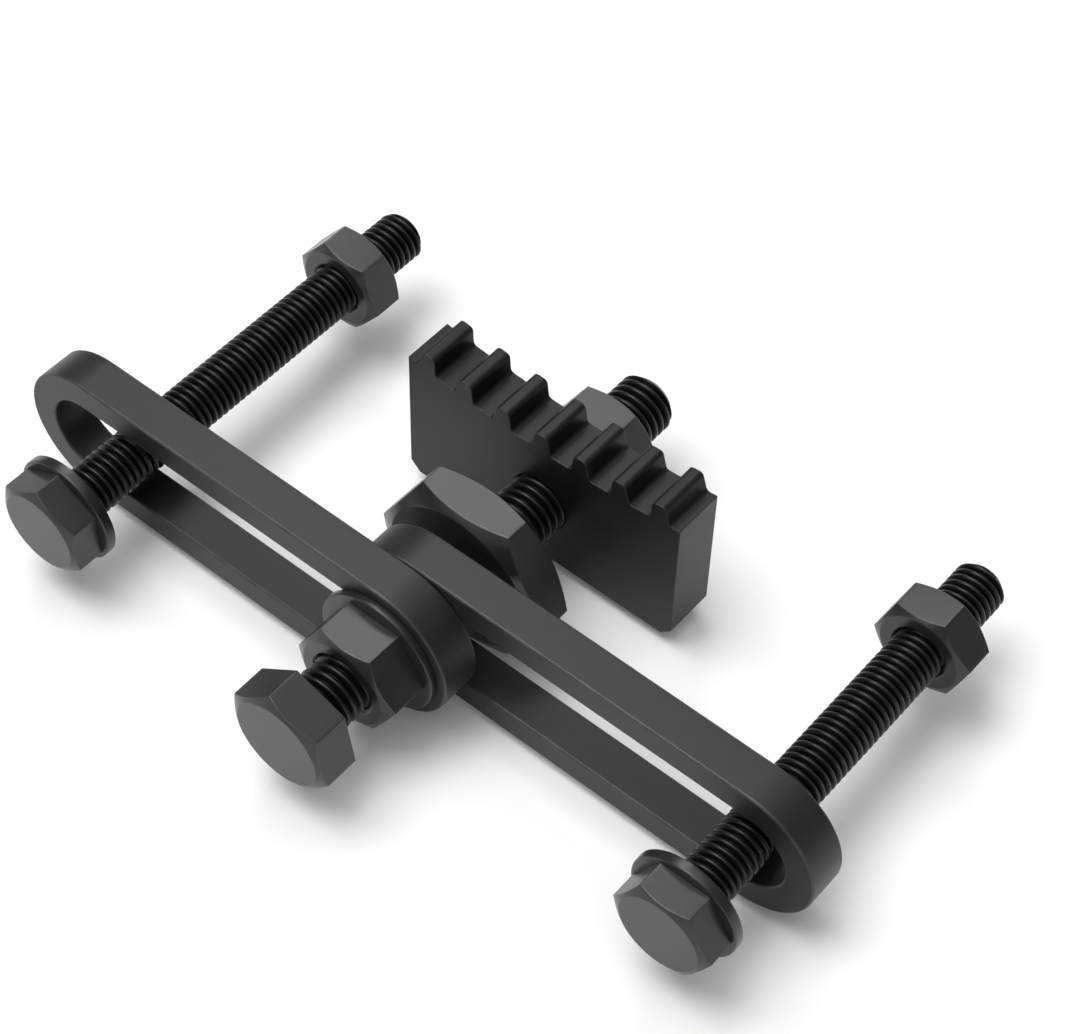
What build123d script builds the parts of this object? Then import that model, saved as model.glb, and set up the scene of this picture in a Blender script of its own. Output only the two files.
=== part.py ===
"""Flywheel locking tool: two slotted arms, three bolts and a toothed locking plate.

Millimetres. X runs along the arms, Y along the bolts from the heads to the tips, Z is up.
The origin is under the middle of the tool, on the surface that the tool lies on.
"""
import os
from math import cos, degrees, radians, tan

from build123d import *

# Arms
arm_centres = 70.0
arm_width = 28.5
arm_thickness = 8.0
slot_width = 17.0
arm_edge = 0.5

# Centre bolt and its nuts, coarse thread of 12 mm
m12_thread = 11.9
m12_flats = 19.0
m12_head = 8.0
front_nut_height = 8.5
back_nut_height = 10.8
m12_tip_chamfer = 1.4
centre_bolt_length = 91.5

# Outer bolts and their nuts, coarse thread of 10 mm
m10_thread = 9.9
m10_flats = 17.0
m10_head = 6.4
m10_nut = 8.0
m10_tip_chamfer = 1.2
left_bolt_length = 90.0
right_bolt_length = 85.0

# Washers
m12_washer_thickness = 1.5
m10_washer_thickness = 2.0
m12_washer_diameter = 24.6
m12_washer_hole = 13.0
m10_washer_diameter = 21.0
m10_washer_hole = 10.5

# Large nut that clamps the arms
clamp_nut_flats = 33.0
clamp_nut_height = 9.0

# Shared by every hexagon
thread_clearance = 0.05
bore_chamfer = 0.6
corner_share = 0.92
corner_angle = 30.0

# Toothed plate, its upper edge curved and toothed like the ring gear that it locks
plate_length = 60.6
plate_thickness = 10.5
plate_drop = 13.9
plate_corner = 2.0
floor_rise = 13.9
floor_radius = 200.0
tooth_count = 7
tooth_pitch = 8.7
tooth_height = 4.0
tooth_sink = 0.3
tooth_base = 4.3
tooth_flank = 80.0
tooth_tip_round = 1.0
tooth_root_round = 0.8

# Places along the bolts
left_arm_y = -26.0
right_arm_y = left_arm_y + arm_thickness
clamp_nut_y = left_arm_y + 19.5
plate_y = left_arm_y + 41.5
back_nut_y = plate_y + plate_thickness
left_nut_y = left_arm_y + 56.2
right_nut_y = left_arm_y + 58.0
front_washer_y = left_arm_y - m12_washer_thickness
front_nut_y = front_washer_y - front_nut_height
centre_seat_y = left_arm_y - 18.0
left_seat_y = left_arm_y - 14.0
right_seat_y = left_arm_y - 7.0

# Places across the bolts, with the tool lying on a flat of the large nut
left_x = -61.7
right_x = 69.7
bolt_z = clamp_nut_flats / 2

# How far each hexagon is turned from having a flat on top
centre_bolt_turn = -20.0
left_bolt_turn = 30.0
left_nut_turn = -9.0
right_nut_turn = 10.0

centre_axis = Axis((0, 0, bolt_z), (0, 1, 0))
left_axis = Axis((left_x, 0, bolt_z), (0, 1, 0))
right_axis = Axis((right_x, 0, bolt_z), (0, 1, 0))

os.makedirs("parts", exist_ok=True)


def upright(y):
    """The upright plane at y, with its own x along the arms and its own y up."""
    return Plane.XZ.offset(-y)


def cone_cut_blank(x, y, flats, height, cut_back=True):
    """Half section of the round blank that cuts a hexagon's corners back on a cone."""
    corner = flats / 2 / cos(radians(30)) + 0.05
    face = flats / 2 * corner_share
    depth = (corner - face) * tan(radians(corner_angle))
    back_face = face if cut_back else corner
    back_depth = depth if cut_back else 0.0
    through_axis = Plane(origin=(x, y, bolt_z), x_dir=(1, 0, 0), z_dir=(0, 0, 1))
    with BuildSketch(through_axis) as blank:
        with BuildLine():
            Polyline((0, height), (0, 0), (face, 0), (corner, depth), (corner, height - back_depth))
            if cut_back:
                Line((corner, height - back_depth), (back_face, height))
            Line((back_face, height), (0, height))
        make_face()
    return blank.sketch


# Left arm: a flat bar with round ends and a slot from end to end
with BuildPart() as left_arm:
    with BuildSketch(upright(left_arm_y)):
        with Locations((-arm_centres / 2, bolt_z)):
            SlotCenterToCenter(arm_centres, arm_width)
            SlotCenterToCenter(arm_centres, slot_width, mode=Mode.SUBTRACT)
    extrude(amount=-arm_thickness)
    chamfer(left_arm.faces().filter_by(Axis.Y).edges(), length=arm_edge)

# Right arm: the same bar, behind the left one, with the centre bolt through both slots
with BuildPart() as right_arm:
    with BuildSketch(upright(right_arm_y)):
        with Locations((arm_centres / 2, bolt_z)):
            SlotCenterToCenter(arm_centres, arm_width)
            SlotCenterToCenter(arm_centres, slot_width, mode=Mode.SUBTRACT)
    extrude(amount=-arm_thickness)
    chamfer(right_arm.faces().filter_by(Axis.Y).edges(), length=arm_edge)

# Centre bolt: threaded all the way to its head
with BuildPart() as centre_bolt:
    with BuildSketch(upright(centre_seat_y - m12_head)):
        with Locations((0, bolt_z)):
            RegularPolygon(m12_flats / 2, 6, major_radius=False, rotation=centre_bolt_turn)
    extrude(amount=-m12_head)
    revolve(
        cone_cut_blank(0, centre_seat_y - m12_head, m12_flats, m12_head, cut_back=False),
        axis=centre_axis, mode=Mode.INTERSECT,
    )
    with BuildSketch(upright(centre_seat_y)):
        with Locations((0, bolt_z)):
            Circle(m12_thread / 2)
    extrude(amount=-centre_bolt_length)
    chamfer(centre_bolt.edges().group_by(Axis.Y)[-1], length=m12_tip_chamfer)

# Nut and washer that draw the arms back against the large nut
with BuildPart() as front_nut:
    with BuildSketch(upright(front_nut_y)):
        with Locations((0, bolt_z)):
            RegularPolygon(m12_flats / 2, 6, major_radius=False)
    extrude(amount=-front_nut_height)
    revolve(
        cone_cut_blank(0, front_nut_y, m12_flats, front_nut_height, cut_back=False),
        axis=centre_axis, mode=Mode.INTERSECT,
    )
    with BuildSketch(upright(front_nut_y)):
        with Locations((0, bolt_z)):
            Circle(m12_thread / 2 + thread_clearance)
    extrude(amount=-front_nut_height, mode=Mode.SUBTRACT)
    bore_ends = front_nut.edges().filter_by(GeomType.CIRCLE).sort_by(SortBy.RADIUS)[:2]
    chamfer(bore_ends, length=bore_chamfer)

with BuildPart() as front_washer:
    with BuildSketch(upright(front_washer_y)):
        with Locations((0, bolt_z)):
            Circle(m12_washer_diameter / 2)
            Circle(m12_washer_hole / 2, mode=Mode.SUBTRACT)
    extrude(amount=-m12_washer_thickness)

# Large nut behind the arms
with BuildPart() as clamp_nut:
    with BuildSketch(upright(clamp_nut_y)):
        with Locations((0, bolt_z)):
            RegularPolygon(clamp_nut_flats / 2, 6, major_radius=False)
    extrude(amount=-clamp_nut_height)
    revolve(
        cone_cut_blank(0, clamp_nut_y, clamp_nut_flats, clamp_nut_height),
        axis=centre_axis, mode=Mode.INTERSECT,
    )
    with BuildSketch(upright(clamp_nut_y)):
        with Locations((0, bolt_z)):
            Circle(m12_thread / 2 + thread_clearance)
    extrude(amount=-clamp_nut_height, mode=Mode.SUBTRACT)
    bore_ends = clamp_nut.edges().filter_by(GeomType.CIRCLE).sort_by(SortBy.RADIUS)[:2]
    chamfer(bore_ends, length=bore_chamfer)

# Toothed plate: teeth stand on a hollow arc and point at the ring gear's centre
gear_z = bolt_z + floor_rise + floor_radius
tooth_span = degrees(tooth_pitch * (tooth_count - 1) / floor_radius)
with BuildPart() as toothed_plate:
    with BuildSketch(upright(plate_y)) as plate_outline:
        with Locations((0, bolt_z - plate_drop)):
            Rectangle(
                plate_length, plate_drop + floor_rise + tooth_height,
                align=(Align.CENTER, Align.MIN),
            )
        chamfer(plate_outline.vertices().group_by(Axis.Y)[0], length=plate_corner)
        with Locations((0, gear_z)):
            Circle(floor_radius, mode=Mode.SUBTRACT)
            with PolarLocations(
                floor_radius + tooth_sink, tooth_count,
                start_angle=-90 - tooth_span / 2, angular_range=tooth_span, endpoint=True,
            ):
                Trapezoid(
                    tooth_base, tooth_height + tooth_sink, tooth_flank,
                    rotation=90, align=(Align.CENTER, Align.MIN),
                )
        ring_centre = Vector(0, gear_z)
        toothed_corners = plate_outline.vertices().filter_by(
            lambda corner: corner.Y > bolt_z and abs(corner.X) < plate_length / 2 - 0.1
        )
        tip_corners = toothed_corners.filter_by(
            lambda corner: (Vector(corner) - ring_centre).length < floor_radius - tooth_height / 2
        )
        root_corners = toothed_corners.filter_by(
            lambda corner: (Vector(corner) - ring_centre).length > floor_radius - tooth_height / 2
        )
        fillet(tip_corners, radius=tooth_tip_round)
        fillet(root_corners, radius=tooth_root_round)
    extrude(amount=-plate_thickness)
    with BuildSketch(upright(plate_y)):
        with Locations((0, bolt_z)):
            Circle(m12_thread / 2 + thread_clearance)
    extrude(amount=-plate_thickness, mode=Mode.SUBTRACT)

# Nut behind the toothed plate
with BuildPart() as back_nut:
    with BuildSketch(upright(back_nut_y)):
        with Locations((0, bolt_z)):
            RegularPolygon(m12_flats / 2, 6, major_radius=False)
    extrude(amount=-back_nut_height)
    revolve(
        cone_cut_blank(0, back_nut_y, m12_flats, back_nut_height),
        axis=centre_axis, mode=Mode.INTERSECT,
    )
    with BuildSketch(upright(back_nut_y)):
        with Locations((0, bolt_z)):
            Circle(m12_thread / 2 + thread_clearance)
    extrude(amount=-back_nut_height, mode=Mode.SUBTRACT)
    bore_ends = back_nut.edges().filter_by(GeomType.CIRCLE).sort_by(SortBy.RADIUS)[:2]
    chamfer(bore_ends, length=bore_chamfer)

# Left bolt, with its washer under the head and its nut near the tip
with BuildPart() as left_bolt:
    with BuildSketch(upright(left_seat_y - m10_head)):
        with Locations((left_x, bolt_z)):
            RegularPolygon(m10_flats / 2, 6, major_radius=False, rotation=left_bolt_turn)
    extrude(amount=-m10_head)
    revolve(
        cone_cut_blank(left_x, left_seat_y - m10_head, m10_flats, m10_head, cut_back=False),
        axis=left_axis, mode=Mode.INTERSECT,
    )
    with BuildSketch(upright(left_seat_y)):
        with Locations((left_x, bolt_z)):
            Circle(m10_thread / 2)
    extrude(amount=-left_bolt_length)
    chamfer(left_bolt.edges().group_by(Axis.Y)[-1], length=m10_tip_chamfer)

with BuildPart() as left_washer:
    with BuildSketch(upright(left_seat_y)):
        with Locations((left_x, bolt_z)):
            Circle(m10_washer_diameter / 2)
            Circle(m10_washer_hole / 2, mode=Mode.SUBTRACT)
    extrude(amount=-m10_washer_thickness)

with BuildPart() as left_nut:
    with BuildSketch(upright(left_nut_y)):
        with Locations((left_x, bolt_z)):
            RegularPolygon(m10_flats / 2, 6, major_radius=False, rotation=left_nut_turn)
    extrude(amount=-m10_nut)
    revolve(
        cone_cut_blank(left_x, left_nut_y, m10_flats, m10_nut),
        axis=left_axis, mode=Mode.INTERSECT,
    )
    with BuildSketch(upright(left_nut_y)):
        with Locations((left_x, bolt_z)):
            Circle(m10_thread / 2 + thread_clearance)
    extrude(amount=-m10_nut, mode=Mode.SUBTRACT)
    bore_ends = left_nut.edges().filter_by(GeomType.CIRCLE).sort_by(SortBy.RADIUS)[:2]
    chamfer(bore_ends, length=bore_chamfer)

# Right bolt, with its washer under the head and its nut near the tip
with BuildPart() as right_bolt:
    with BuildSketch(upright(right_seat_y - m10_head)):
        with Locations((right_x, bolt_z)):
            RegularPolygon(m10_flats / 2, 6, major_radius=False)
    extrude(amount=-m10_head)
    revolve(
        cone_cut_blank(right_x, right_seat_y - m10_head, m10_flats, m10_head, cut_back=False),
        axis=right_axis, mode=Mode.INTERSECT,
    )
    with BuildSketch(upright(right_seat_y)):
        with Locations((right_x, bolt_z)):
            Circle(m10_thread / 2)
    extrude(amount=-right_bolt_length)
    chamfer(right_bolt.edges().group_by(Axis.Y)[-1], length=m10_tip_chamfer)

with BuildPart() as right_washer:
    with BuildSketch(upright(right_seat_y)):
        with Locations((right_x, bolt_z)):
            Circle(m10_washer_diameter / 2)
            Circle(m10_washer_hole / 2, mode=Mode.SUBTRACT)
    extrude(amount=-m10_washer_thickness)

with BuildPart() as right_nut:
    with BuildSketch(upright(right_nut_y)):
        with Locations((right_x, bolt_z)):
            RegularPolygon(m10_flats / 2, 6, major_radius=False, rotation=right_nut_turn)
    extrude(amount=-m10_nut)
    revolve(
        cone_cut_blank(right_x, right_nut_y, m10_flats, m10_nut),
        axis=right_axis, mode=Mode.INTERSECT,
    )
    with BuildSketch(upright(right_nut_y)):
        with Locations((right_x, bolt_z)):
            Circle(m10_thread / 2 + thread_clearance)
    extrude(amount=-m10_nut, mode=Mode.SUBTRACT)
    bore_ends = right_nut.edges().filter_by(GeomType.CIRCLE).sort_by(SortBy.RADIUS)[:2]
    chamfer(bore_ends, length=bore_chamfer)

left_arm.part.label = "left_arm"
right_arm.part.label = "right_arm"
centre_bolt.part.label = "centre_bolt"
front_nut.part.label = "front_nut"
front_washer.part.label = "front_washer"
clamp_nut.part.label = "clamp_nut"
toothed_plate.part.label = "toothed_plate"
back_nut.part.label = "back_nut"
left_bolt.part.label = "left_bolt"
left_washer.part.label = "left_washer"
left_nut.part.label = "left_nut"
right_bolt.part.label = "right_bolt"
right_washer.part.label = "right_washer"
right_nut.part.label = "right_nut"

export_step(left_arm.part, "parts/left_arm.step")
export_step(right_arm.part, "parts/right_arm.step")
export_step(centre_bolt.part, "parts/centre_bolt.step")
export_step(front_nut.part, "parts/front_nut.step")
export_step(front_washer.part, "parts/front_washer.step")
export_step(clamp_nut.part, "parts/clamp_nut.step")
export_step(toothed_plate.part, "parts/toothed_plate.step")
export_step(back_nut.part, "parts/back_nut.step")
export_step(left_bolt.part, "parts/left_bolt.step")
export_step(left_washer.part, "parts/left_washer.step")
export_step(left_nut.part, "parts/left_nut.step")
export_step(right_bolt.part, "parts/right_bolt.step")
export_step(right_washer.part, "parts/right_washer.step")
export_step(right_nut.part, "parts/right_nut.step")
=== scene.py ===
"""Dress the flywheel locking tool: finishes, real threads, crisp hexagons and light.

Metres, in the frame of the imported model: X along the arms, Y along the bolts from the
heads to the tips, Z up, with the tool lying on a flat of its large nut at Z = 0.
"""
import logging
import math
from dataclasses import dataclass, replace
from enum import Enum

import bmesh
import bpy
from mathutils import Matrix, Vector


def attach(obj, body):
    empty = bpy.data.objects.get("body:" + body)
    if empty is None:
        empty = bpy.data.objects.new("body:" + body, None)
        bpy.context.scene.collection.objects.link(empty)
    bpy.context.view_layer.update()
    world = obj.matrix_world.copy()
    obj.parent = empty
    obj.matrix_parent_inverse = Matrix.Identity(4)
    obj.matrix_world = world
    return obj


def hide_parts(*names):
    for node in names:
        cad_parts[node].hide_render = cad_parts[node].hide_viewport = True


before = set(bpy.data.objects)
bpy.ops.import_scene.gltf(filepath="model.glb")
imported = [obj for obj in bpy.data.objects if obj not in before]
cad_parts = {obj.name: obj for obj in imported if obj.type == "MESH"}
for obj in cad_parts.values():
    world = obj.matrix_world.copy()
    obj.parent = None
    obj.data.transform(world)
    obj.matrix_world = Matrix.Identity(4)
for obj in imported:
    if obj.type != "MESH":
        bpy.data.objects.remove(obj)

log = logging.getLogger("flywheel_locking_tool")
MM = 0.001
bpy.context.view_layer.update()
BOLT_HEIGHT = 16.5
WHITE = (1.0, 1.0, 1.0, 1.0)


# Node building


@dataclass(frozen=True)
class NoiseLayer:
    """One layer of a noise that has several."""

    scale: float
    share: float
    detail: float
    roughness: float


class Graph:
    """A small builder for shader and geometry node trees.

    MIX_COLOURS and MIX_RESULT are the places of the colour sockets on a Mix node.
    """

    MIX_COLOURS = (6, 7)
    MIX_RESULT = 2

    def __init__(self, tree: bpy.types.NodeTree) -> None:
        """Keep the tree.

        Args:
            tree: The node tree that nodes are added to.
        """
        self.tree = tree

    def add(self, kind: str, **settings: object) -> bpy.types.Node:
        """Add one node.

        Args:
            kind: The node's type name.
            **settings: Properties to set on the node.

        Returns:
            The new node.
        """
        node = self.tree.nodes.new(kind)
        for name, value in settings.items():
            setattr(node, name, value)
        return node

    def feed(self, socket: bpy.types.NodeSocket, value: object) -> None:
        """Link a socket to an input, or set the input's plain value.

        Args:
            socket: The input that is fed.
            value: An output socket or a plain value.
        """
        if isinstance(value, bpy.types.NodeSocket):
            self.tree.links.new(value, socket)
        else:
            socket.default_value = value

    def make(self, kind: str, settings: dict[str, object], **values: object) -> bpy.types.Node:
        """Add a node and feed its inputs by name.

        Args:
            kind: The node's type name.
            settings: Properties to set on the node.
            **values: Sockets or plain values, by input name with underscores for spaces.

        Returns:
            The new node.
        """
        node = self.add(kind, **settings)
        for name, value in values.items():
            self.feed(node.inputs[name.replace("_", " ")], value)
        return node

    def math(self, operation: str, *terms: object) -> bpy.types.NodeSocket:
        """Add a Math node.

        Args:
            operation: The Math node's operation.
            *terms: Its sockets or numbers in order.

        Returns:
            The result's socket.
        """
        node = self.add("ShaderNodeMath", operation=operation)
        for socket, value in zip(node.inputs, terms):
            self.feed(socket, value)
        return node.outputs[0]

    def noise(self, place: object, scale: object, detail: float, roughness: float) -> bpy.types.NodeSocket:
        """Add a Noise Texture node.

        Args:
            place: The coordinates.
            scale: The noise's scale.
            detail: How many octaves it has.
            roughness: How strong the fine octaves are.

        Returns:
            The socket of its value.
        """
        return self.make("ShaderNodeTexNoise", {}, Vector=place, Scale=scale, Detail=detail,
                         Roughness=roughness).outputs["Fac"]

    def layered_noise(self, place: object, scale: object,
                      layers: tuple[NoiseLayer, ...]) -> bpy.types.NodeSocket:
        """Add up noises of several scales.

        Args:
            place: The coordinates.
            scale: The scale that each layer's own is a multiple of.
            layers: The layers, whose shares add up to 1.

        Returns:
            The sum's socket.
        """
        total: object = 0.0
        for layer in layers:
            own_scale = self.math("MULTIPLY", scale, layer.scale)
            value = self.noise(place, own_scale, layer.detail, layer.roughness)
            total = self.math("MULTIPLY_ADD", value, layer.share, total)
        return total

    def blend(self, factor: object, first: object, second: object) -> bpy.types.NodeSocket:
        """Blend two colours.

        Args:
            factor: 0 for the first colour to 1 for the second.
            first: The first colour.
            second: The second colour.

        Returns:
            The blended colour's socket.
        """
        node = self.add("ShaderNodeMix", data_type="RGBA")
        self.feed(node.inputs["Factor"], factor)
        for place, colour in zip(self.MIX_COLOURS, (first, second)):
            self.feed(node.inputs[place], colour)
        return node.outputs[self.MIX_RESULT]

    def mix_shaders(self, factor: object, *shaders: bpy.types.NodeSocket) -> bpy.types.NodeSocket:
        """Mix two shaders.

        Args:
            factor: 0 for the first shader to 1 for the second.
            *shaders: The two shaders.

        Returns:
            The mixed shader's socket.
        """
        node = self.add("ShaderNodeMixShader")
        for socket, value in zip(node.inputs, (factor, *shaders)):
            self.feed(socket, value)
        return node.outputs[0]

    def glow(self, strength: float) -> bpy.types.NodeSocket:
        """Add a plain white emission of the given strength."""
        return self.make("ShaderNodeEmission", {}, Color=WHITE, Strength=strength).outputs[0]

    def finish_with(self, kind: str, surface: bpy.types.NodeSocket) -> None:
        """Add the tree's output node of the given kind and feed its surface."""
        self.feed(self.add(kind).inputs["Surface"], surface)


def new_material(name: str) -> tuple[bpy.types.Material, Graph]:
    """Start a material with an empty tree.

    Args:
        name: The material's name.

    Returns:
        The material and its graph.
    """
    material = bpy.data.materials.new(name)
    material.use_nodes = True
    material.node_tree.nodes.clear()
    return material, Graph(material.node_tree)


def new_group(name: str, kind: str, inputs: list[tuple],
              outputs: list[tuple]) -> tuple[Graph, bpy.types.Node, bpy.types.Node]:
    """Start a node group with named inputs and outputs.

    Args:
        name: The group's name.
        kind: ShaderNodeTree or GeometryNodeTree.
        inputs: Name, socket type and starting value of each input.
        outputs: Name and socket type of each output.

    Returns:
        The group's graph, its input node and its output node.
    """
    tree = bpy.data.node_groups.new(name, kind)
    for label, socket_type, start in inputs:
        socket = tree.interface.new_socket(label, in_out="INPUT", socket_type=socket_type)
        if start is not None:
            socket.default_value = start
    for label, socket_type in outputs:
        tree.interface.new_socket(label, in_out="OUTPUT", socket_type=socket_type)
    graph = Graph(tree)
    return graph, graph.add("NodeGroupInput"), graph.add("NodeGroupOutput")


# Finishes


class Grain(Enum):
    """How the steel was worked, which sets the direction of its fine marks."""

    ROLLED = (1.0, 1.0, 1.0)
    ALONG_ARM = (0.16, 1.0, 1.0)
    ALONG_BOLT = (1.0, 0.2, 1.0)


class EffectGroups:
    """The shader effects that the finishes share, each built once."""

    MOTTLE_LAYERS = (NoiseLayer(scale=1.0, share=0.65, detail=3.0, roughness=0.55),
                     NoiseLayer(scale=7.0, share=0.35, detail=4.0, roughness=0.6))
    GRAIN_LAYERS = (NoiseLayer(scale=1.0, share=0.4, detail=2.0, roughness=0.5),
                    NoiseLayer(scale=0.16, share=0.6, detail=2.0, roughness=0.5))

    def __init__(self) -> None:
        """Build the three groups."""
        self.mottle = self._mottle()
        self.grain = self._grain()
        self.rub = self._rub()

    def _mottle(self) -> bpy.types.NodeTree:
        """Cloudy patches of the oxide bath.

        Returns:
            A group that gives one value around 0.5.
        """
        graph, given, out = new_group(
            "oxide_mottle", "ShaderNodeTree",
            [("Vector", "NodeSocketVector", None), ("Scale", "NodeSocketFloat", 90.0),
             ("Contrast", "NodeSocketFloat", 0.5)],
            [("Value", "NodeSocketFloat")],
        )
        value = given.outputs
        clouds = graph.layered_noise(value["Vector"], value["Scale"], self.MOTTLE_LAYERS)
        middle = 0.5
        spread = graph.math("MULTIPLY", graph.math("SUBTRACT", clouds, middle), value["Contrast"])
        graph.feed(out.inputs["Value"], graph.math("ADD", spread, middle))
        return graph.tree

    def _grain(self) -> bpy.types.NodeTree:
        """Fine worked surface with a direction, from rolling or cutting.

        Returns:
            A group that gives a height.
        """
        graph, given, out = new_group(
            "worked_grain", "ShaderNodeTree",
            [("Vector", "NodeSocketVector", None), ("Direction", "NodeSocketVector", (1.0, 1.0, 1.0)),
             ("Scale", "NodeSocketFloat", 2600.0)],
            [("Height", "NodeSocketFloat")],
        )
        stretched = graph.add("ShaderNodeVectorMath", operation="MULTIPLY")
        graph.feed(stretched.inputs[0], given.outputs["Vector"])
        graph.feed(stretched.inputs[1], given.outputs["Direction"])
        height = graph.layered_noise(stretched.outputs[0], given.outputs["Scale"], self.GRAIN_LAYERS)
        graph.feed(out.inputs["Height"], height)
        return graph.tree

    def _rub(self) -> bpy.types.NodeTree:
        """Where handling has rubbed the oxide, on broken edges and crests.

        Returns:
            A group that gives a mask.
        """
        graph, given, out = new_group(
            "edge_rub", "ShaderNodeTree",
            [("Vector", "NodeSocketVector", None), ("Edge", "NodeSocketFloat", 0.0),
             ("Amount", "NodeSocketFloat", 0.5), ("Scale", "NodeSocketFloat", 260.0)],
            [("Mask", "NodeSocketFloat")],
        )
        value = given.outputs
        noise = graph.noise(value["Vector"], value["Scale"], detail=3.0, roughness=0.6)
        patch = graph.make("ShaderNodeMapRange", {"clamp": True}, Value=noise,
                           From_Min=0.35, From_Max=0.7, To_Min=0.25, To_Max=1.0)
        edge = graph.math("MULTIPLY", value["Edge"], patch.outputs["Result"])
        graph.feed(out.inputs["Mask"], graph.math("MULTIPLY", edge, value["Amount"]))
        return graph.tree


@dataclass(frozen=True)
class Finish:
    """Black oxide on steel, as one kind of piece of this tool wears it.

    The tones are multiples of the oxide's colour: the mottle runs between two of them, and the
    bottom of a thread has painted shade, its own darker tone and its own share of the gloss. Only
    a threaded piece has a gloss that changes over its surface. The grain's depth is in millimetres.
    """

    name: str
    slot: str
    oxide: tuple[float, float, float]
    rubbed: tuple[float, float, float]
    roughness: float
    gloss: float
    metallic: float
    grain: Grain
    grain_scale: float
    grain_depth: float
    mottle_scale: float
    mottle: float
    rub: float
    threaded: bool = False
    roughness_swing: float = 0.07
    mottle_tones: tuple[float, float] = (0.55, 1.45)
    root_painted_shade_tone: float = 0.12
    root_painted_shade_gloss: float = 0.16

    def _tone(self, share: float) -> tuple[float, ...]:
        """The oxide's colour times a share, as a socket takes it."""
        return tuple(channel * share for channel in self.oxide) + (1.0,)

    def _colour(self, graph: Graph, effects: EffectGroups, place: bpy.types.NodeSocket,
                mottle: bpy.types.NodeSocket) -> bpy.types.NodeSocket:
        """Cloud the oxide and rub it off the edges.

        Args:
            graph: The material's graph.
            effects: The shared shader effects.
            place: The piece's own coordinates.
            mottle: The mottle's value.

        Returns:
            The colour's socket.
        """
        edge = graph.add("ShaderNodeAttribute", attribute_name="edge").outputs["Fac"]
        rub = graph.make("ShaderNodeGroup", {"node_tree": effects.rub}, Vector=place, Edge=edge,
                         Amount=self.rub).outputs["Mask"]
        dark, pale = (self._tone(share) for share in self.mottle_tones)
        return graph.blend(rub, graph.blend(mottle, dark, pale), self.rubbed + (1.0,))

    def material(self, effects: EffectGroups) -> bpy.types.Material:
        """Build this finish's material.

        Args:
            effects: The shared shader effects.

        Returns:
            The new material.
        """
        material, graph = new_material(self.name)
        place = graph.add("ShaderNodeTexCoord").outputs["Object"]
        mottle = graph.make("ShaderNodeGroup", {"node_tree": effects.mottle}, Vector=place,
                            Scale=self.mottle_scale, Contrast=self.mottle).outputs["Value"]
        grain = graph.make("ShaderNodeGroup", {"node_tree": effects.grain}, Vector=place,
                           Direction=self.grain.value, Scale=self.grain_scale).outputs["Height"]
        colour: object = self._colour(graph, effects, place, mottle)
        gloss: object = self.gloss
        if self.threaded:
            # Painted shade: the bottom of each thread turn is darkened and its gloss lowered, for the shade
            # between the turns.
            painted_root_shade = graph.add("ShaderNodeAttribute", attribute_name="painted_root_shade").outputs["Fac"]
            colour = graph.blend(painted_root_shade, colour, self._tone(self.root_painted_shade_tone))
            gloss = graph.math("MULTIPLY_ADD", painted_root_shade, (self.root_painted_shade_gloss - 1.0) * self.gloss, self.gloss)
        rough = graph.make("ShaderNodeMapRange", {"clamp": True}, Value=mottle, From_Min=0.2, From_Max=0.8,
                           To_Min=self.roughness - self.roughness_swing,
                           To_Max=self.roughness + self.roughness_swing)
        bump = graph.make("ShaderNodeBump", {}, Height=grain, Strength=1.0, Distance=self.grain_depth * MM)
        surface = graph.make("ShaderNodeBsdfPrincipled", {}, Base_Color=colour,
                             Roughness=rough.outputs["Result"], Metallic=self.metallic,
                             Specular_IOR_Level=gloss, Normal=bump.outputs["Normal"])
        graph.finish_with("ShaderNodeOutputMaterial", surface.outputs["BSDF"])
        return material


ARM_STEEL = Finish(
    name="arm_black_oxide", slot="arm_steel", oxide=(0.037, 0.037, 0.038), rubbed=(0.105, 0.105, 0.107),
    roughness=0.43, gloss=0.36, metallic=0.52, grain=Grain.ALONG_ARM, grain_scale=2300.0,
    grain_depth=0.010, mottle_scale=95.0, mottle=0.55, rub=0.45,
)
PLATE_STEEL = Finish(
    name="plate_black_oxide", slot="plate_steel", oxide=(0.024, 0.024, 0.025), rubbed=(0.080, 0.080, 0.082),
    roughness=0.38, gloss=0.22, metallic=0.46, grain=Grain.ALONG_BOLT, grain_scale=2300.0,
    grain_depth=0.010, mottle_scale=110.0, mottle=0.55, rub=0.40,
)
FASTENER_STEEL = Finish(
    name="fastener_black_oxide", slot="fastener_steel", oxide=(0.046, 0.046, 0.047),
    rubbed=(0.125, 0.125, 0.127), roughness=0.30, gloss=0.48, metallic=0.60, grain=Grain.ROLLED,
    grain_scale=3000.0, grain_depth=0.008, mottle_scale=140.0, mottle=0.6, rub=0.45,
)
BOLT_STEEL = replace(FASTENER_STEEL, name="bolt_black_oxide", threaded=True)


# Mesh building


def grid_skin(rings: list[list[Vector]], closed: bool) -> bmesh.types.BMesh:
    """Skin equal rings of points into a band of quads.

    Args:
        rings: Rings of points, each with the same count.
        closed: Whether the last ring joins the first.

    Returns:
        The new mesh.
    """
    mesh = bmesh.new()
    rows = [[mesh.verts.new(point) for point in ring] for ring in rings]
    count = len(rows[0])
    pairs = list(zip(rows, rows[1:])) + ([(rows[-1], rows[0])] if closed else [])
    for low, high in pairs:
        for i in range(count):
            j = (i + 1) % count
            mesh.faces.new((low[i], low[j], high[j], high[i]))
    if not closed:
        mesh.faces.new(rows[0])
        mesh.faces.new(rows[-1])
    return mesh


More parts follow.
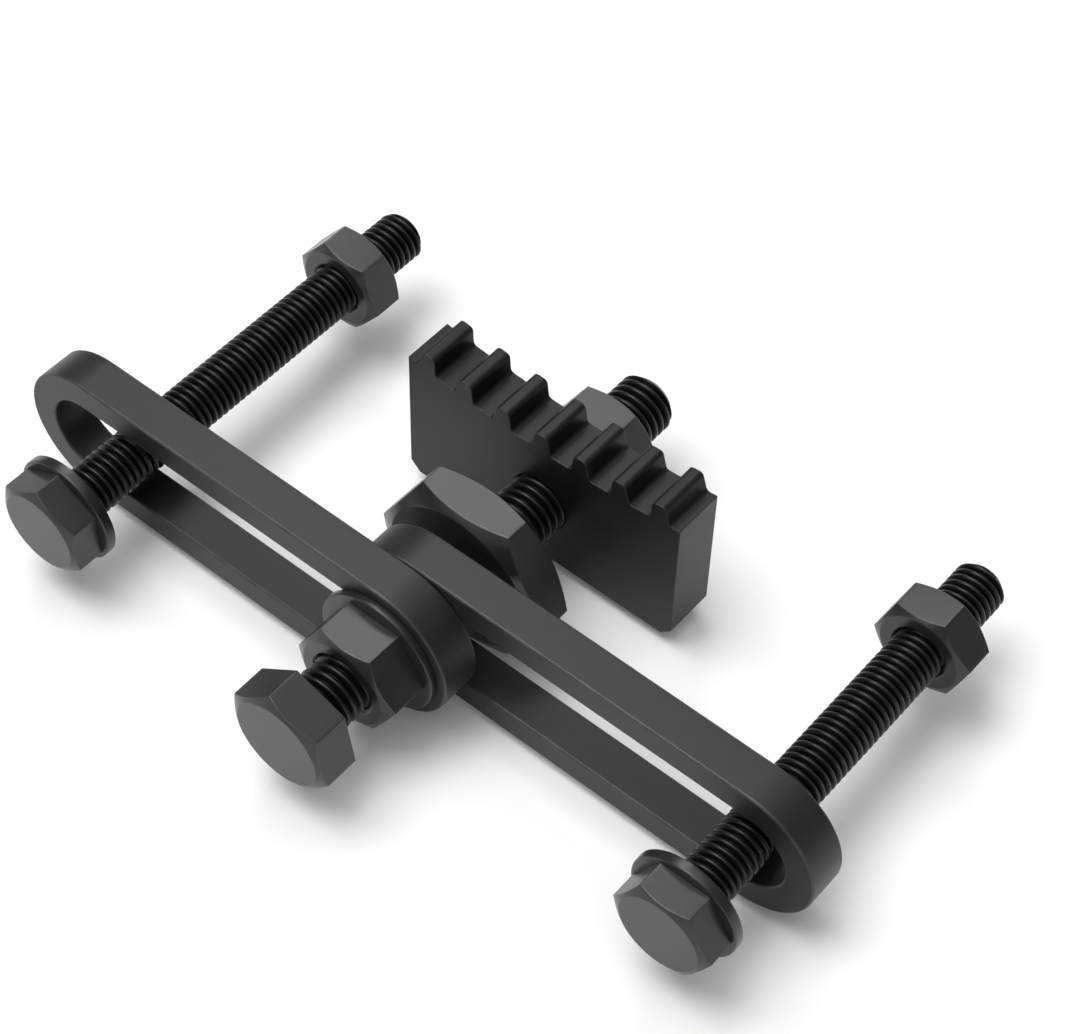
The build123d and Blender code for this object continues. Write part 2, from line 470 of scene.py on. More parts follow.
@dataclass
class Station:
    """A bolt's axis and an end along it, in millimetres."""

    x: float
    y: float

    def point(self, radius: float, angle: float, along: float) -> Vector:
        """A point round the axis.

        Args:
            radius: Distance from the axis.
            angle: Turn from the arms' direction towards up, in radians.
            along: Distance from the end towards the bolt's tip.

        Returns:
            The point in metres.
        """
        return Vector((
            self.x + radius * math.cos(angle), self.y + along, BOLT_HEIGHT + radius * math.sin(angle),
        )) * MM


@dataclass
class Piece:
    """One visible piece of the tool, named for the node that it stands for, in millimetres."""

    MERGE_M = 1e-7
    SHARP_ANGLE = math.radians(24)
    FLAT_WEIGHT = 90
    BROKEN_SLOT = 1

    node: str
    finish: Finish
    bevel: float = 0.12
    bevel_steps: int = 2

    def shape(self) -> bmesh.types.BMesh:
        """Build the piece's mesh; each kind of piece has its own.

        Returns:
            The mesh in metres, in the model's frame.
        """
        raise NotImplementedError

    def build(self, materials: dict[str, bpy.types.Material]) -> bpy.types.Object:
        """Make the object, break and mark its edges, and put it on its body.

        Args:
            materials: The finished materials by name.

        Returns:
            The finished object.
        """
        shape = self.shape()
        bmesh.ops.remove_doubles(shape, verts=shape.verts, dist=self.MERGE_M)
        bmesh.ops.recalc_face_normals(shape, faces=shape.faces)
        for polygon in shape.faces:
            polygon.smooth = True
        mesh = bpy.data.meshes.new(f"{self.node}_dressed")
        shape.to_mesh(mesh)
        shape.free()
        piece = bpy.data.objects.new(f"{self.node}_dressed", mesh)
        bpy.context.scene.collection.objects.link(piece)
        for _ in range(self.BROKEN_SLOT + 1):
            mesh.materials.append(materials[self.finish.name])
        self._break_edges(piece)
        self._mark_edges(piece.data)
        self._add_on(piece.data)
        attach(piece, self.node)
        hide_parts(self.node)
        log.info("%s: %d faces", piece.name, len(piece.data.polygons))
        return piece

    def _break_edges(self, piece: bpy.types.Object) -> None:
        """Bevel the sharp edges into the second slot and keep the flats' shading flat.

        Args:
            piece: The object to bevel.
        """
        if self.bevel > 0:
            bevel = piece.modifiers.new("broken_edges", "BEVEL")
            bevel.width = self.bevel * MM
            bevel.segments = self.bevel_steps
            bevel.limit_method = "ANGLE"
            bevel.angle_limit = self.SHARP_ANGLE
            bevel.material = self.BROKEN_SLOT
        flats = piece.modifiers.new("flat_faces", "WEIGHTED_NORMAL")
        flats.mode = "FACE_AREA"
        flats.weight = self.FLAT_WEIGHT
        evaluated = piece.evaluated_get(bpy.context.evaluated_depsgraph_get())
        baked = bpy.data.meshes.new_from_object(evaluated)
        piece.modifiers.clear()
        piece.data = baked

    def _mark_edges(self, mesh: bpy.types.Mesh) -> None:
        """Turn the second material slot into the edge attribute.

        Args:
            mesh: The piece's mesh.
        """
        edge = mesh.attributes.new("edge", "FLOAT", "FACE")
        for polygon in mesh.polygons:
            edge.data[polygon.index].value = float(polygon.material_index == self.BROKEN_SLOT)
            polygon.material_index = 0
        mesh.materials.pop(index=self.BROKEN_SLOT)

    def _add_on(self, mesh: bpy.types.Mesh) -> None:
        """Join what is made apart from the skin; most kinds of piece have nothing.

        Args:
            mesh: The piece's mesh with its edges marked.
        """


# Hexagons


@dataclass
class Hexagon:
    """A hexagon whose corners are turned back on a cone, in millimetres."""

    CONE = math.radians(30)
    SIDE_ANGLE = math.radians(60)

    flats: float
    height: float
    turn: float = 0.0
    face_share: float = 0.92
    sides: int = 96

    def reach(self, angle: float) -> float:
        """Distance from the axis to the side at an angle.

        Args:
            angle: Turn round the axis in radians.

        Returns:
            The distance in millimetres.
        """
        turned = (angle - math.radians(self.turn)) % self.SIDE_ANGLE
        return self.flats / 2 / math.cos(turned - self.SIDE_ANGLE / 2)

    @property
    def face_radius(self) -> float:
        """Radius of the round end face inside the turned corners."""
        return self.flats / 2 * self.face_share

    def angles(self) -> list[float]:
        """The angles that carry the mesh, with one on each corner."""
        return [math.radians(self.turn) + math.tau * i / self.sides for i in range(self.sides)]

    def round_ring(self, station: Station, radius: float, along: float) -> list[Vector]:
        """A plain ring with the hexagon's own angles.

        Args:
            station: The bolt's axis and the hexagon's front.
            radius: The ring's radius.
            along: Distance from the front.

        Returns:
            The ring's points.
        """
        return [station.point(radius, angle, along) for angle in self.angles()]

    def corner_ring(self, station: Station, along: float, inward: float) -> list[Vector]:
        """Where the cone meets the sides, as a wave round the hexagon.

        Args:
            station: The bolt's axis and the hexagon's front.
            along: The end face that the cone starts from.
            inward: 1 where the cone falls back from the front face, -1 at the back face, 0 for no cone.

        Returns:
            The ring's points.
        """
        ring = []
        for angle in self.angles():
            reach = self.reach(angle)
            fall = (reach - self.face_radius) * math.tan(self.CONE)
            ring.append(station.point(reach, angle, along + inward * fall))
        return ring


@dataclass(kw_only=True)
class Nut(Piece):
    """A hexagon nut with turned ends and the mouths of its thread countersunk."""

    station: Station
    hexagon: Hexagon
    bore: float
    countersink: float = 0.6
    turned_back: bool = True

    def shape(self) -> bmesh.types.BMesh:
        """Skin the nut from its front mouth round to its back mouth.

        Returns:
            The mesh in metres, in the model's frame.
        """
        body, seat, end = self.hexagon, self.station, self.hexagon.height
        mouth = self.bore + self.countersink
        back = [body.corner_ring(seat, end, 0.0)]
        if self.turned_back:
            back = [body.corner_ring(seat, end, -1.0), body.round_ring(seat, body.face_radius, end)]
        rings = [
            body.round_ring(seat, self.bore, self.countersink),
            body.round_ring(seat, mouth, 0.0),
            body.round_ring(seat, body.face_radius, 0.0),
            body.corner_ring(seat, 0.0, 1.0),
            *back,
            body.round_ring(seat, mouth, end),
            body.round_ring(seat, self.bore, end - self.countersink),
        ]
        return grid_skin(rings, closed=True)


@dataclass(kw_only=True)
class Washer(Piece):
    """A flat washer, blanked with a rolled-over outer edge on one side."""

    station: Station
    outer: float
    hole: float
    thickness: float = 2.0
    roll: float = 0.35
    roll_middle: float = 0.3
    broken: float = 0.15
    sides: int = 128

    def shape(self) -> bmesh.types.BMesh:
        """Skin the washer round its section.

        Returns:
            The mesh in metres, in the model's frame.
        """
        middle = self.roll * self.roll_middle
        section = [
            (self.hole, self.broken), (self.hole + self.broken, 0.0), (self.outer - self.roll, 0.0),
            (self.outer - middle, middle), (self.outer, self.roll),
            (self.outer, self.thickness - self.broken), (self.outer - self.broken, self.thickness),
            (self.hole + self.broken, self.thickness), (self.hole, self.thickness - self.broken),
        ]
        turns = [math.tau * i / self.sides for i in range(self.sides)]
        rings = [[self.station.point(radius, turn, along) for turn in turns] for radius, along in section]
        return grid_skin(rings, closed=True)


# Flat pieces cut from bar


def rounded_outline(corners: list[tuple[float, float, float]],
                    steps: int = 6) -> list[tuple[float, float]]:
    """Round the corners of an outline with arcs.

    Args:
        corners: x, height and rounding radius of each corner, in order.
        steps: Straight runs in each arc.

    Returns:
        The outline's points.
    """
    outline: list[tuple[float, float]] = []
    count = len(corners)
    for i, (x, z, radius) in enumerate(corners):
        here = Vector((x, z))
        if radius <= 0:
            outline.append((x, z))
            continue
        back = (Vector(corners[i - 1][:2]) - here).normalized()
        ahead = (Vector(corners[(i + 1) % count][:2]) - here).normalized()
        half = back.angle(ahead) / 2
        reach = radius / math.tan(half)
        centre = here + (back + ahead).normalized() * (radius / math.sin(half))
        start, end = here + back * reach - centre, here + ahead * reach - centre
        sweep = start.angle_signed(end)
        for step in range(steps + 1):
            arm = start.copy()
            arm.rotate(Matrix.Rotation(-sweep * step / steps, 2))
            outline.append(tuple(centre + arm))
    return outline


@dataclass(kw_only=True)
class Cutout(Piece):
    """A piece cut from flat bar: an outline with a window through it."""

    front: float
    thickness: float

    def outline(self) -> list[tuple[float, float]]:
        """The outer outline, x and height in millimetres."""
        raise NotImplementedError

    def window(self) -> list[tuple[float, float]]:
        """The outline of the opening through the piece."""
        raise NotImplementedError

    def shape(self) -> bmesh.types.BMesh:
        """Fill both faces between the outline and the window, and wall them.

        Returns:
            The mesh in metres, in the model's frame.
        """
        mesh = bmesh.new()
        loops = []
        for along in (self.front, self.front + self.thickness):
            edges = []
            for points in (self.outline(), self.window()):
                ring = [mesh.verts.new(Vector((x, along, z)) * MM) for x, z in points]
                edges += [mesh.edges.new((a, b)) for a, b in zip(ring, ring[1:] + ring[:1])]
                loops.append(ring)
            bmesh.ops.triangle_fill(mesh, use_beauty=True, use_dissolve=True, edges=edges)
        for near, far in ((loops[0], loops[2]), (loops[1], loops[3])):
            for i in range(len(near)):
                j = (i + 1) % len(near)
                mesh.faces.new((near[i], near[j], far[j], far[i]))
        return mesh


@dataclass(kw_only=True)
class SlottedArm(Cutout):
    """One arm: a bar with round ends and a slot from end to end, seated on the centre bolt."""

    end: float
    half_width: float = 14.25
    half_slot: float = 8.5
    steps: int = 56

    def racetrack(self, radius: float) -> list[tuple[float, float]]:
        """A loop with round ends, one about the centre bolt and one about the arm's end.

        Args:
            radius: Radius of the round ends.

        Returns:
            The loop's points.
        """
        low, high = sorted((0.0, self.end))
        turns = [math.pi * i / self.steps for i in range(self.steps + 1)]
        right = [(high + radius * math.sin(a), BOLT_HEIGHT - radius * math.cos(a)) for a in turns]
        left = [(low - radius * math.sin(a), BOLT_HEIGHT + radius * math.cos(a)) for a in turns]
        return right + left

    def outline(self) -> list[tuple[float, float]]:
        """The arm's outside."""
        return self.racetrack(self.half_width)

    def window(self) -> list[tuple[float, float]]:
        """The slot."""
        return self.racetrack(self.half_slot)


@dataclass(kw_only=True)
class ToothedPlate(Cutout):
    """The locking plate: teeth on a hollow arc that point at the ring gear's centre."""

    length: float = 60.6
    drop: float = 13.9
    floor_rise: float = 13.9
    floor_radius: float = 200.0
    teeth: int = 7
    pitch: float = 8.7
    tooth_height: float = 4.0
    tip_width: float = 2.8
    floor_width: float = 4.2
    tip_round: float = 1.0
    root_round: float = 0.8
    corner: float = 2.0
    bore: float = 6.0
    bore_sides: int = 64

    def about_gear(self, radius: float, swing: float, across: float) -> tuple[float, float]:
        """A point by its place on the ring gear.

        Args:
            radius: Distance from the ring gear's centre.
            swing: Turn from straight down, in radians.
            across: Distance from the tooth's own middle line.

        Returns:
            x and height of the point.
        """
        centre = BOLT_HEIGHT + self.floor_rise + self.floor_radius
        return (radius * math.sin(swing) + across * math.cos(swing),
                centre - radius * math.cos(swing) + across * math.sin(swing))

    def outline(self) -> list[tuple[float, float]]:
        """The plate's outside, from the lower left corner round over the teeth.

        Returns:
            The outline's points, x and height in millimetres.
        """
        half, base = self.length / 2, BOLT_HEIGHT - self.drop
        end_swing = math.asin(half / self.floor_radius)
        tip_radius = self.floor_radius - self.tooth_height
        corners = [(-half + self.corner, base, 0.0), (half - self.corner, base, 0.0),
                   (half, base + self.corner, 0.0),
                   (*self.about_gear(self.floor_radius, end_swing, 0.0), 0.0)]
        for i in reversed(range(self.teeth)):
            swing = self.pitch / self.floor_radius * (i - (self.teeth - 1) / 2)
            for radius, across, rounding in (
                (self.floor_radius, self.floor_width / 2, self.root_round),
                (tip_radius, self.tip_width / 2, self.tip_round),
                (tip_radius, -self.tip_width / 2, self.tip_round),
                (self.floor_radius, -self.floor_width / 2, self.root_round),
            ):
                corners.append((*self.about_gear(radius, swing, across), rounding))
        corners.append((*self.about_gear(self.floor_radius, -end_swing, 0.0), 0.0))
        corners.append((-half, base + self.corner, 0.0))
        return rounded_outline(corners)

    def window(self) -> list[tuple[float, float]]:
        """The hole for the centre bolt."""
        turns = [math.tau * i / self.bore_sides for i in range(self.bore_sides)]
        return [(self.bore * math.cos(a), BOLT_HEIGHT + self.bore * math.sin(a)) for a in turns]


# Bolts with a real thread


class ThreadTree:
    """Geometry nodes that wind a thread's section round a bolt's axis.

    A flat grid runs along the thread in X and across one pitch in Y. It is bent round the axis, so
    that each turn's upper side meets the next turn's lower side, and merged there.
    """

    INPUTS = {
        "Axis X": 0.0, "Axis Z": 0.0, "Seat": 0.0, "Length": 0.09, "Crest": 0.005, "Root": 0.004,
        "Pitch": 0.0015, "Tip Chamfer": 0.0012, "Start Sink": 0.0003,
    }
    STEPS_AROUND = 40
    STEPS_ACROSS = 8
    SPARE_TURNS = 2.0
    ROOT_HALF = 0.125
    CREST_START = 0.75
    CREST_MARK = 0.74
    MERGE_M = 2e-6

    def __init__(self) -> None:
        """Build the tree with its named inputs."""
        inputs = [(label, "NodeSocketFloat", start) for label, start in self.INPUTS.items()]
        inputs += [("Steps", "NodeSocketInt", 2400), ("Finish", "NodeSocketMaterial", None)]
        graph, given, out = new_group("wound_thread", "GeometryNodeTree", inputs,
                                      [("Geometry", "NodeSocketGeometry")])
        self.tree = graph.tree
        value = given.outputs
        grid = graph.make("GeometryNodeMeshGrid", {}, Size_X=1.0, Size_Y=1.0,
                          Vertices_X=graph.math("ADD", value["Steps"], 1.0),
                          Vertices_Y=self.STEPS_ACROSS + 1)
        here = graph.add("ShaderNodeSeparateXYZ")
        graph.feed(here.inputs[0], graph.add("GeometryNodeInputPosition").outputs[0])
        wound = graph.math("ADD", here.outputs["X"], 0.5)
        section = graph.math("ADD", here.outputs["Y"], 0.5)
        wave = graph.math("ABSOLUTE", graph.math("SUBTRACT", graph.math("MULTIPLY", section, 2.0), 1.0))
        crest = graph.math("GREATER_THAN", wave, self.CREST_MARK)
        marked = graph.make("GeometryNodeStoreNamedAttribute", {"data_type": "FLOAT", "domain": "POINT"},
                            Geometry=grid.outputs["Mesh"], Name="edge")
        graph.feed(next(s for s in marked.inputs if s.name == "Value" and s.enabled), crest)
        moved = graph.make("GeometryNodeSetPosition", {}, Geometry=marked.outputs["Geometry"],
                           Position=self._bent(graph, value, wound, section, wave))
        merged = graph.make("GeometryNodeMergeByDistance", {}, Geometry=moved.outputs["Geometry"],
                            Distance=self.MERGE_M)
        real = graph.make("GeometryNodeRealizeInstances", {}, Geometry=merged.outputs["Geometry"])
        dressed = graph.make("GeometryNodeSetMaterial", {}, Geometry=real.outputs["Geometry"],
                             Material=value["Finish"])
        graph.feed(out.inputs["Geometry"], dressed.outputs["Geometry"])

    def _bent(self, graph: Graph, value: bpy.types.NodeOutputs, wound: bpy.types.NodeSocket,
              section: bpy.types.NodeSocket, wave: bpy.types.NodeSocket) -> bpy.types.NodeSocket:
        """Bend the flat grid round the bolt's axis.

        Args:
            graph: The tree's graph.
            value: The tree's named inputs.
            wound: Share of the thread's run, 0 to 1.
            section: Share of one pitch, 0 to 1.
            wave: 0 in the middle of the root to 1 in the middle of the crest.

        Returns:
            The socket of the bent position.
        """
        steps = graph.math("MULTIPLY", wound, value["Steps"])
        turns = graph.math("DIVIDE", steps, float(self.STEPS_AROUND))
        angle = graph.math("MULTIPLY", turns, -math.tau)
        raw = graph.math("MULTIPLY", graph.math("ADD", graph.math("SUBTRACT", turns, 1.0), section),
                         value["Pitch"])
        low = graph.math("MULTIPLY", value["Start Sink"], -1.0)
        along = graph.math("MINIMUM", graph.math("MAXIMUM", raw, low), value["Length"])
        flank = graph.make("ShaderNodeMapRange", {"clamp": True}, Value=wave, From_Min=self.ROOT_HALF,
                           From_Max=self.CREST_START, To_Min=value["Root"], To_Max=value["Crest"])
        to_tip = graph.math("SUBTRACT", value["Length"], raw)
        cone = graph.math("ADD", graph.math("SUBTRACT", value["Crest"], value["Tip Chamfer"]),
                          graph.math("MAXIMUM", to_tip, 0.0))
        neck = graph.math("ADD", value["Root"], graph.math("MAXIMUM", raw, 0.0))
        radius = graph.math("MINIMUM", graph.math("MINIMUM", flank.outputs["Result"], cone), neck)
        place = graph.add("ShaderNodeCombineXYZ")
        for socket, term in zip(place.inputs, (
            graph.math("MULTIPLY_ADD", graph.math("COSINE", angle), radius, value["Axis X"]),
            graph.math("ADD", along, value["Seat"]),
            graph.math("MULTIPLY_ADD", graph.math("SINE", angle), radius, value["Axis Z"]),
        )):
            graph.feed(socket, term)
        return place.outputs[0]

    def wind(self, name: str, sizes: dict[str, float], material: bpy.types.Material) -> bpy.types.Mesh:
        """Wind one thread and return it as a plain mesh.

        Args:
            name: The mesh's name.
            sizes: The inputs by name, in metres.
            material: The thread's finish.

        Returns:
            The thread's skin, open at both ends.
        """
        holder = bpy.data.objects.new(name, bpy.data.meshes.new(name))
        bpy.context.scene.collection.objects.link(holder)
        modifier = holder.modifiers.new("wound_thread", "NODES")
        modifier.node_group = self.tree
        steps = int(round((sizes["Length"] / sizes["Pitch"] + self.SPARE_TURNS) * self.STEPS_AROUND))
        given = {**sizes, "Steps": steps, "Finish": material}
        for item in self.tree.interface.items_tree:
            if item.item_type == "SOCKET" and item.in_out == "INPUT" and item.name in given:
                modifier[item.identifier] = given[item.name]
        evaluated = holder.evaluated_get(bpy.context.evaluated_depsgraph_get())
        mesh = bpy.data.meshes.new_from_object(evaluated)
        bpy.data.objects.remove(holder)
        return mesh


@dataclass(frozen=True)
class BoltSize:
    """A standard coarse thread with its hexagon, in millimetres."""

    flats: float
    head: float
    crest: float
    pitch: float
    tip_chamfer: float
    bore: float
    depth_share: float = 0.6134

    @property
    def depth(self) -> float:
        """How deep the thread is cut."""
        return self.pitch * self.depth_share


TWELVE_MM = BoltSize(flats=19.0, head=8.0, crest=5.93, pitch=1.75, tip_chamfer=1.4, bore=6.0)
TEN_MM = BoltSize(flats=17.0, head=6.4, crest=4.94, pitch=1.5, tip_chamfer=1.2, bore=5.0)


@dataclass(kw_only=True)
class Bolt(Piece):
    """A hexagon bolt, threaded to its head; its station is where head and shank meet."""

    START_SINK = 0.3
    CREST_RUB = 0.3
    CREST_SHADE = 0.45
    SHADE_BY_DEPTH = 0.9

    station: Station
    size: BoltSize
    length: float
    turn: float
    winder: ThreadTree

    def shape(self) -> bmesh.types.BMesh:
        """Skin the head, with its corners turned back at the front.

        Returns:
            The mesh in metres, in the model's frame.
        """
        head = Hexagon(self.size.flats, self.size.head, turn=self.turn)
        front = Station(self.station.x, self.station.y - head.height)
        rings = [
            head.round_ring(front, head.face_radius, 0.0),
            head.corner_ring(front, 0.0, 1.0),
            head.corner_ring(front, head.height, 0.0),
        ]
        return grid_skin(rings, closed=False)

    def _add_on(self, mesh: bpy.types.Mesh) -> None:
        """Join the wound thread, closed at both ends, to the head.

        Args:
            mesh: The head's mesh.
        """
        size = self.size
        thread = self.winder.wind(f"{self.node}_thread", {
            "Axis X": self.station.x * MM, "Axis Z": BOLT_HEIGHT * MM, "Seat": self.station.y * MM,
            "Length": self.length * MM, "Crest": size.crest * MM, "Root": (size.crest - size.depth) * MM,
            "Pitch": size.pitch * MM, "Tip Chamfer": size.tip_chamfer * MM,
            "Start Sink": self.START_SINK * MM,
        }, mesh.materials[0])
        bolt, skin = bmesh.new(), bmesh.new()
        bolt.from_mesh(mesh)
        skin.from_mesh(thread)
        bmesh.ops.holes_fill(skin, edges=[edge for edge in skin.edges if edge.is_boundary], sides=0)
        bmesh.ops.recalc_face_normals(skin, faces=skin.faces)
        crest_layer = skin.verts.layers.float.get("edge")
        edge_layer = bolt.faces.layers.float.get("edge")
        # Painted shade for the thread's roots, darker the deeper a point lies between the turns.
        painted_root_shade_layer = bolt.verts.layers.float.new("painted_root_shade")
        copies = {vert.index: bolt.verts.new(vert.co) for vert in skin.verts}
        for copy in copies.values():
            copy[painted_root_shade_layer] = self._painted_root_shade(copy.co / MM)
        for face in skin.faces:
            copy = bolt.faces.new([copies[vert.index] for vert in face.verts])
            copy.smooth = len(face.verts) == 4
            on_crest = all(vert[crest_layer] > 0.5 for vert in face.verts)
            copy[edge_layer] = self.CREST_RUB if on_crest else 0.0
        log.info("%s: %d thread faces", self.node, len(skin.faces))
        bolt.to_mesh(mesh)
        bolt.free()
        skin.free()

    def _painted_root_shade(self, place: Vector) -> float:
        """How much painted shade a point gets, by how deep it lies between two turns of the thread.

        Args:
            place: The point in millimetres.

        Returns:
            CREST_SHADE on the crest, up to 1 at the root.
        """
        radius = math.hypot(place.x - self.station.x, place.z - BOLT_HEIGHT)
        sunk = max(0.0, self.size.crest - radius) / self.size.depth
        return min(1.0, self.CREST_SHADE + self.SHADE_BY_DEPTH * sunk)


# The tool


@dataclass
class CentreGroup:
    """What sits on the centre bolt: its nuts, its washer and the toothed plate."""

    winder: ThreadTree
    bolt_seat: float = -44.0
    bolt_length: float = 91.5
    bolt_turn: float = -20.0
    front_nut_front: float = -36.0
    front_nut_height: float = 8.5
    washer_thickness: float = 1.5
    washer_outer: float = 12.3
    washer_hole: float = 6.5
    clamp_nut_front: float = -6.5
    clamp_nut_flats: float = 33.0
    clamp_nut_height: float = 9.0
    plate_front: float = 15.5
    plate_thickness: float = 10.5
    back_nut_height: float = 10.8

    def nut(self, node: str, front: float, height: float, turned_back: bool = True) -> Nut:
        """One of the two nuts of the bolt's own size.

        Args:
            node: The nut's node.
            front: Where the nut begins along the bolt.
            height: Its height.
            turned_back: Whether its back corners are turned too.

        Returns:
            The nut.
        """
        return Nut(node, FASTENER_STEEL, station=Station(0.0, front), turned_back=turned_back,
                   hexagon=Hexagon(TWELVE_MM.flats, height), bore=TWELVE_MM.bore)

    def pieces(self) -> list[Piece]:
        """Lay out the group.

        Returns:
            The group's pieces from the bolt's head to its tip.
        """
        washer_front = self.front_nut_front + self.front_nut_height
        return [
            Bolt("centre_bolt", BOLT_STEEL, station=Station(0.0, self.bolt_seat), size=TWELVE_MM,
                 length=self.bolt_length, turn=self.bolt_turn, winder=self.winder),
            self.nut("front_nut", self.front_nut_front, self.front_nut_height, turned_back=False),
            Washer("front_washer", FASTENER_STEEL, bevel=0.0, station=Station(0.0, washer_front),
                   outer=self.washer_outer, hole=self.washer_hole, thickness=self.washer_thickness),
            Nut("clamp_nut", FASTENER_STEEL, bevel=0.2, station=Station(0.0, self.clamp_nut_front),
                hexagon=Hexagon(self.clamp_nut_flats, self.clamp_nut_height, sides=144),
                bore=TWELVE_MM.bore),
            ToothedPlate("toothed_plate", PLATE_STEEL, bevel=0.35, bevel_steps=3,
                         front=self.plate_front, thickness=self.plate_thickness),
            self.nut("back_nut", self.plate_front + self.plate_thickness, self.back_nut_height),
        ]


@dataclass(kw_only=True)
class ArmGroup:
    """One arm with its outer bolt, washer and nut."""

    side: str
    winder: ThreadTree
    front: float
    end: float
    bolt_x: float
    seat: float
    length: float
    bolt_turn: float
    nut_turn: float
    nut_front: float
    nut_height: float = 8.0
    arm_thickness: float = 8.0
    inset: float = 0.01
    washer_outer: float = 10.5
    washer_hole: float = 5.25

    def pieces(self) -> list[Piece]:
        """Lay out the group; the arm's faces are inset, so that the two arms don't share one.

        Returns:
            The group's pieces, the arm first.
        """
        seat = Station(self.bolt_x, self.seat)
        return [
            SlottedArm(f"{self.side}_arm", ARM_STEEL, bevel=0.45, bevel_steps=3, end=self.end,
                       front=self.front + self.inset, thickness=self.arm_thickness - 2 * self.inset),
            Bolt(f"{self.side}_bolt", BOLT_STEEL, station=seat, size=TEN_MM, length=self.length,
                 turn=self.bolt_turn, winder=self.winder),
            Washer(f"{self.side}_washer", FASTENER_STEEL, bevel=0.0, station=seat,
                   outer=self.washer_outer, hole=self.washer_hole),
            Nut(f"{self.side}_nut", FASTENER_STEEL, station=Station(self.bolt_x, self.nut_front),
                hexagon=Hexagon(TEN_MM.flats, self.nut_height, turn=self.nut_turn), bore=TEN_MM.bore),
        ]


# Studio


@dataclass(frozen=True)
class Softbox:
    """A square lamp that looks at the tool, in metres and watts."""

    name: str
    place: tuple[float, float, float]
    size: float
    watts: float

    def hang(self, target: Vector) -> None:
        """Add the lamp.

        Args:
            target: The point that it faces.
        """
        lamp = bpy.data.lights.new(self.name, "AREA")
        lamp.shape = "SQUARE"
        lamp.size = self.size
        lamp.energy = self.watts
        holder = bpy.data.objects.new(self.name, lamp)
        holder.location = self.place
        holder.rotation_mode = "QUATERNION"
        holder.rotation_quaternion = (target - Vector(self.place)).to_track_quat("-Z", "Y")
        bpy.context.scene.collection.objects.link(holder)


@dataclass
class Studio:
    """A pale floor, soft lamps and a white surround, in metres.

    The floor's lift is a faint glow for the camera, and the fade is where the floor turns white.
    """

    floor_size: float = 6.0
    floor_tone: float = 0.93
    floor_fibre: float = 0.01
    fibre_scale: float = 40.0
    floor_lift: float = 0.08
    fade_start: float = 0.25
    fade_end: float = 0.60
    surround: float = 0.11
    lamps: tuple[Softbox, ...] = (
        Softbox("key_softbox", place=(-0.62, -0.40, 1.95), size=1.3, watts=26.0),
        Softbox("top_softbox", place=(0.10, -0.10, 2.20), size=2.4, watts=22.0),
        Softbox("sheen_softbox", place=(-0.95, 1.00, 1.70), size=0.75, watts=8.5),
        Softbox("front_softbox", place=(-0.60, -1.90, 0.90), size=1.2, watts=9.0),
    )

    def paper(self) -> bpy.types.Material:
        """Pale paper that takes the tool's shadow and fades to white further out.

        Returns:
            The floor's material.
        """
        material, graph = new_material("studio_paper")
        place = graph.add("ShaderNodeTexCoord").outputs["Object"]
        fibre = graph.noise(place, self.fibre_scale, detail=2.0, roughness=0.5)
        tone = graph.make("ShaderNodeMapRange", {}, Value=fibre,
                          To_Min=self.floor_tone - self.floor_fibre,
                          To_Max=self.floor_tone + self.floor_fibre)
        paper = graph.make("ShaderNodeBsdfDiffuse", {}, Color=tone.outputs["Result"]).outputs[0]
        lifted = graph.add("ShaderNodeAddShader")
        graph.feed(lifted.inputs[0], paper)
        graph.feed(lifted.inputs[1], graph.glow(self.floor_lift))
        reach = graph.add("ShaderNodeVectorMath", operation="LENGTH")
        graph.feed(reach.inputs[0], place)
        fade = graph.make("ShaderNodeMapRange", {"clamp": True, "interpolation_type": "SMOOTHSTEP"},
                          Value=reach.outputs["Value"], From_Min=self.fade_start, From_Max=self.fade_end)
        backdrop = graph.mix_shaders(fade.outputs["Result"], lifted.outputs[0], graph.glow(1.0))
        seen = graph.add("ShaderNodeLightPath").outputs
        looked_at = graph.math("MAXIMUM", seen["Is Camera Ray"], seen["Is Glossy Ray"])
        graph.finish_with("ShaderNodeOutputMaterial", graph.mix_shaders(looked_at, paper, backdrop))
        return material

    def lay_floor(self) -> None:
        """Lay the floor that the tool stands on."""
        half = self.floor_size / 2
        mesh = bpy.data.meshes.new("studio_floor")
        corners = [(-half, -half, 0.0), (half, -half, 0.0), (half, half, 0.0), (-half, half, 0.0)]
        mesh.from_pydata(corners, [], [(0, 1, 2, 3)])
        mesh.materials.append(self.paper())
        floor = bpy.data.objects.new("studio_floor", mesh)
        bpy.context.scene.collection.objects.link(floor)

    def light_surround(self) -> None:
        """Light the scene dimly from all round, and show the camera plain white."""
        world = bpy.data.worlds.new("studio_surround")
        world.use_nodes = True
        world.node_tree.nodes.clear()
        graph = Graph(world.node_tree)
        seen = graph.add("ShaderNodeLightPath")
        strength = graph.math("MAXIMUM", seen.outputs["Is Camera Ray"], self.surround)
        sky = graph.make("ShaderNodeBackground", {}, Color=WHITE, Strength=strength)
        graph.finish_with("ShaderNodeOutputWorld", sky.outputs[0])
        bpy.context.scene.world = world

    def build(self) -> None:
        """Set up the whole studio."""
        self.lay_floor()
        self.light_surround()
        for lamp in self.lamps:
            lamp.hang(Vector((0.0, 0.0, BOLT_HEIGHT * MM)))
        bpy.context.scene.view_settings.view_transform = "Standard"


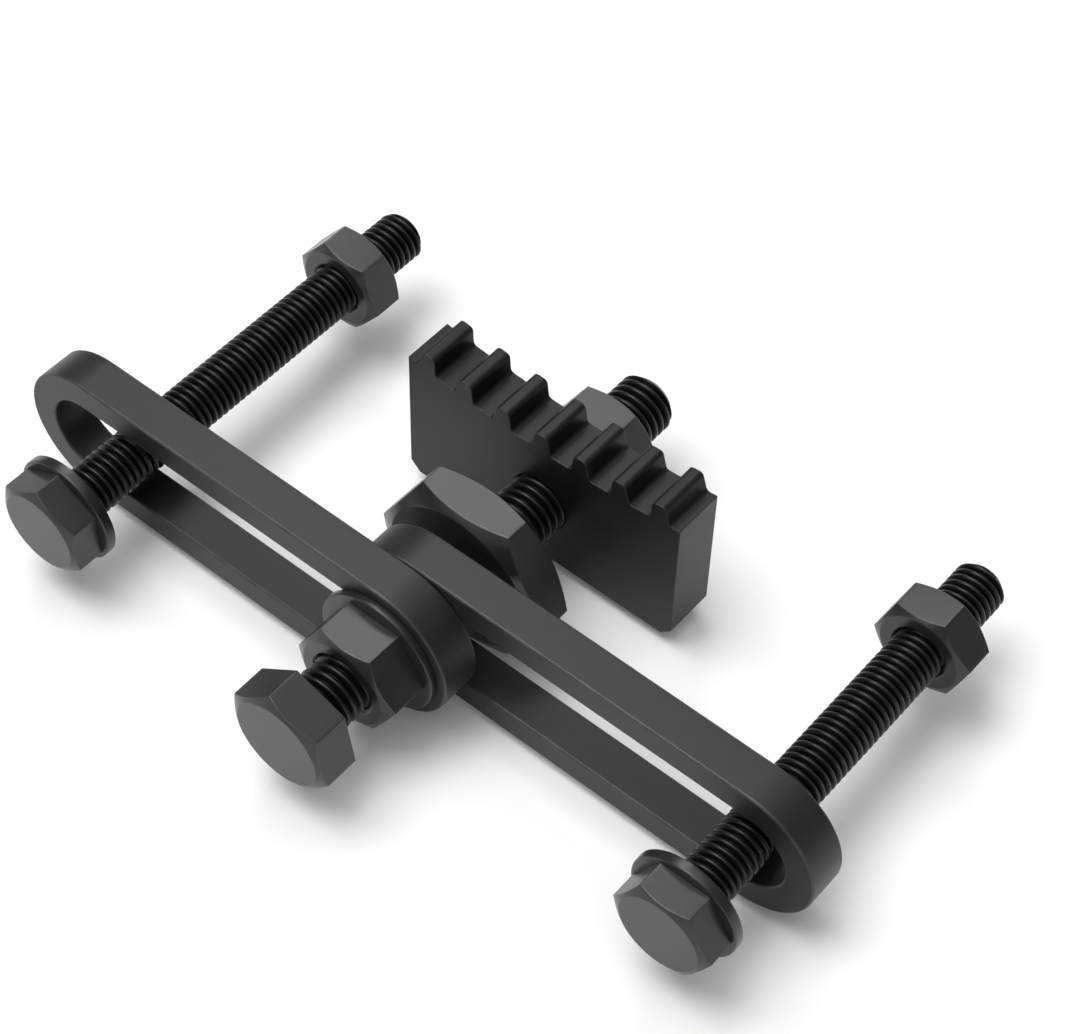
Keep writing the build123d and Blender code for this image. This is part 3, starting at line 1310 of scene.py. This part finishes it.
@dataclass(frozen=True)
class PhotoCamera:
    """The camera that took the picture, fitted to the tool's own lines.

    Angles are in degrees and lengths in millimetres. The target is a point of the tool, and right,
    up and ahead say where it lies as the camera sees it.
    """

    target: tuple[float, float, float] = (0.0, -26.0, BOLT_HEIGHT)
    azimuth: float = -38.28
    elevation: float = 51.40
    roll: float = 1.83
    right: float = -26.715
    up: float = -21.928
    ahead: float = 457.283
    lens: float = 90.353
    sensor: float = 36.0

    def place(self) -> None:
        """Add the camera and make it the scene's own."""
        turn, tilt = math.radians(self.azimuth), math.radians(self.elevation)
        look = Vector((math.sin(turn) * math.cos(tilt), math.cos(turn) * math.cos(tilt), -math.sin(tilt)))
        level = Vector((math.cos(turn), -math.sin(turn), 0.0))
        upward = level.cross(look)
        lean = math.radians(self.roll)
        across = level * math.cos(lean) + upward * math.sin(lean)
        over = upward * math.cos(lean) - level * math.sin(lean)
        stand = Vector(self.target) - (across * self.right + over * self.up + look * self.ahead)
        lens = bpy.data.cameras.new("photo_camera")
        lens.lens = self.lens
        lens.sensor_width = self.sensor
        camera = bpy.data.objects.new("photo_camera", lens)
        pose = Matrix((across, over, -look)).transposed().to_4x4()
        pose.translation = stand * MM
        camera.matrix_world = pose
        bpy.context.scene.collection.objects.link(camera)
        bpy.context.scene.camera = camera


def main() -> None:
    """Build the tool's pieces, the studio and the camera, and report each piece."""
    effects = EffectGroups()
    finishes = (ARM_STEEL, PLATE_STEEL, FASTENER_STEEL, BOLT_STEEL)
    materials = {finish.name: finish.material(effects) for finish in finishes}
    winder = ThreadTree()
    left = ArmGroup(side="left", winder=winder, front=-26.0, end=-70.0, bolt_x=-61.7, seat=-40.0,
                    length=90.0, bolt_turn=30.0, nut_turn=-9.0, nut_front=30.2)
    right = ArmGroup(side="right", winder=winder, front=-18.0, end=70.0, bolt_x=69.7, seat=-33.0,
                     length=85.0, bolt_turn=0.0, nut_turn=10.0, nut_front=32.0)
    for group in (left, CentreGroup(winder), right):
        for piece in group.pieces():
            piece.build(materials)
    Studio().build()
    PhotoCamera().place()


if __name__ == "__main__":
    logging.basicConfig(level=logging.INFO, format="%(message)s")
    main()
